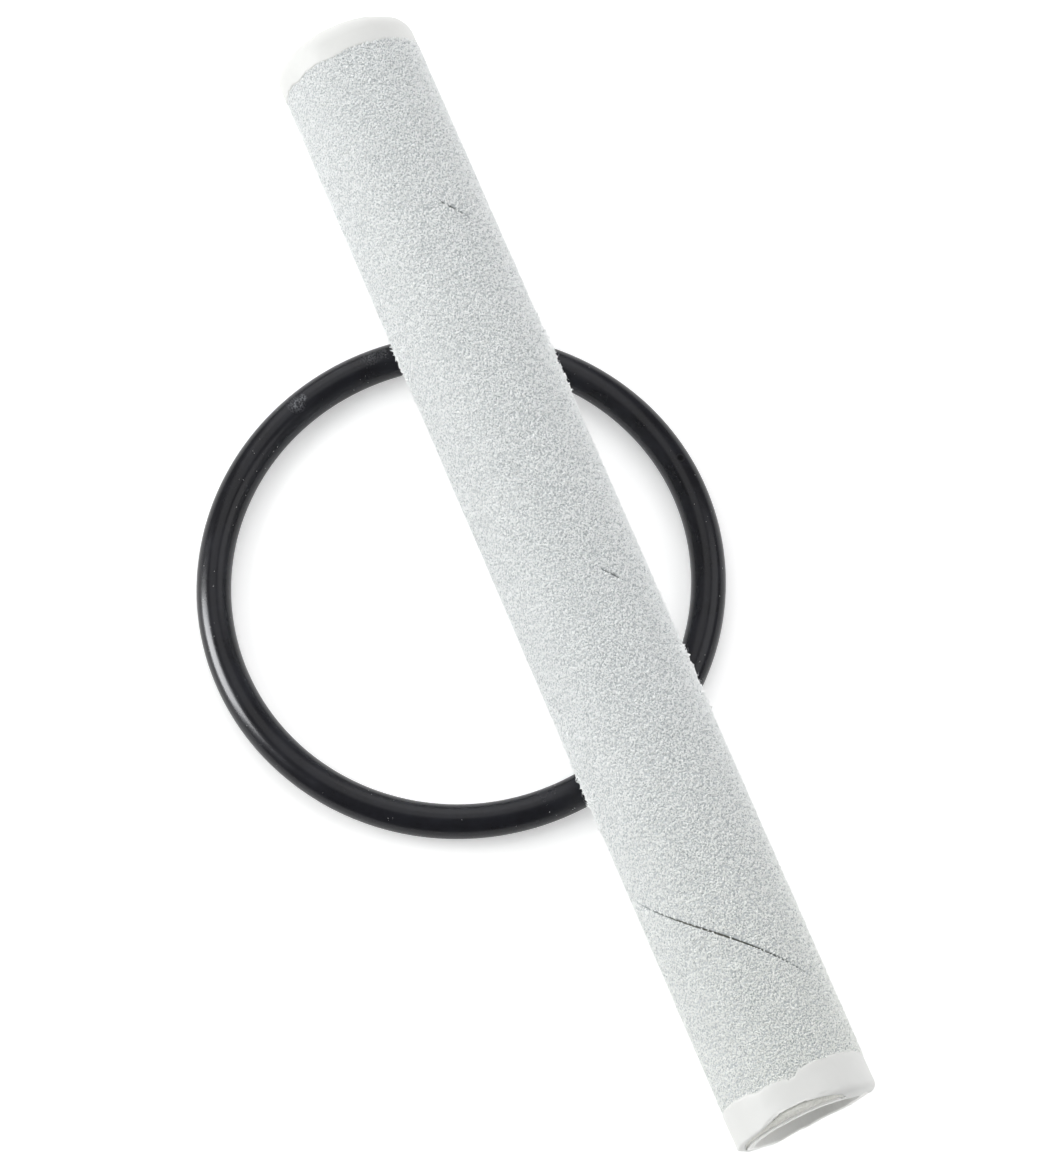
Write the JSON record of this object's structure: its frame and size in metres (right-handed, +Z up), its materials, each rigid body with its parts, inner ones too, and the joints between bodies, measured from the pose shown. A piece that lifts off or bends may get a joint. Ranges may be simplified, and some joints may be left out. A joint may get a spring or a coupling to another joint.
{
  "type": "tubular swim float with rubber ring",
  "caption": "Hollow round float bar, wound from plies, foam and a helical napped cover with dipped ends, lying across a moulded rubber ring.",
  "frame": {"origin": "on the floor, at the bar's mid-length in X and at the ring's centre line in Y, which is the bottom centre of the bounding box", "axes": "+X along the bar towards its open end with the wider band, +Y towards the side of the ring that the bar lies over, +Z up"},
  "size_m": [0.3, 0.1316, 0.0458],
  "materials": {
    "rubber_black": "matte, moulded",
    "nap_fabric": "short napped pile on a thin backing",
    "dip_white": "satin, dipped",
    "ply_plastic": "satin, extruded",
    "foam_grey": "matte, closed-cell foam"
  },
  "bodies": {
    "ring": {"rubber_ring": "rubber_black"},
    "bar": {"core_inner_ply": "ply_plastic", "core_outer_ply": "ply_plastic", "foam_sleeve": "foam_grey", "cover_strip": "nap_fabric", "end_band_front": "dip_white", "end_band_rear": "dip_white"}
  },
  "joints": [
    {"name": "bar_lift", "type": "slide", "parent": "ring", "child": "bar", "axis": [0, 0, 1], "range_m": [0, 0.08]}
  ]
}
